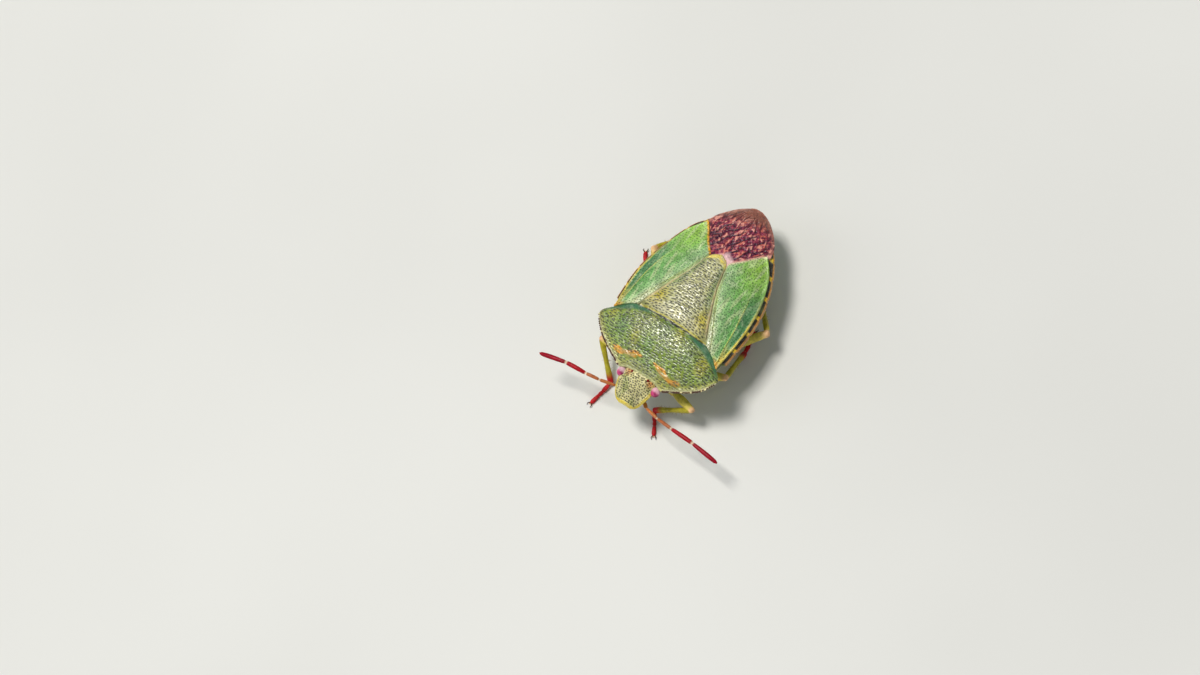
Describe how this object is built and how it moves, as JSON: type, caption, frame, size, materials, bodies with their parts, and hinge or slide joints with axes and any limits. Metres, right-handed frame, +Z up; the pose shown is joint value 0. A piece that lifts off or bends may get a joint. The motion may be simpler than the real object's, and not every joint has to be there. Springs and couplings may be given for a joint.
{
  "type": "green shield bug",
  "caption": "Life-size still model of an adult green shield bug standing on six legs, with jointed feelers, shield plates, folded wings and dark wing tips.",
  "frame": {"origin": "on the floor, under the middle of the model's outer box", "axes": "+Z up, +Y towards the tail, -Y towards the head, +X towards the animal's left side"},
  "size_m": [0.012, 0.0138, 0.0048],
  "materials": {
    "pronotum": "punctured green shell with a soft sheen",
    "scutellum": "punctured olive-green shell with a soft sheen",
    "wing": "finely punctured green leathery wing",
    "membrane": "dark red-brown veined wing membrane",
    "abdomen": "yellow-green, side rim banded dark and yellow",
    "underside": "pale green shell",
    "head": "pale yellow-green with dense dark punctures",
    "eye": "magenta, faceted",
    "feeler": "orange-tan at the root, crimson at the tip",
    "leg": "yellow-green thighs and shins, red feet"
  },
  "bodies": {
    "root": {"pronotum": "pronotum", "scutellum": "scutellum", "forewing_left": "wing", "forewing_right": "wing", "membrane_left": "membrane", "membrane_right": "membrane", "abdomen": "abdomen", "thorax": "underside", "head": "head", "eye_left": "eye", "eye_right": "eye", "rostrum": "underside", "antenna_left": "feeler", "antenna_right": "feeler", "leg_front_left": "leg", "leg_front_right": "leg", "leg_middle_left": "leg", "leg_middle_right": "leg", "leg_hind_left": "leg", "leg_hind_right": "leg"}
  },
  "joints": []
}
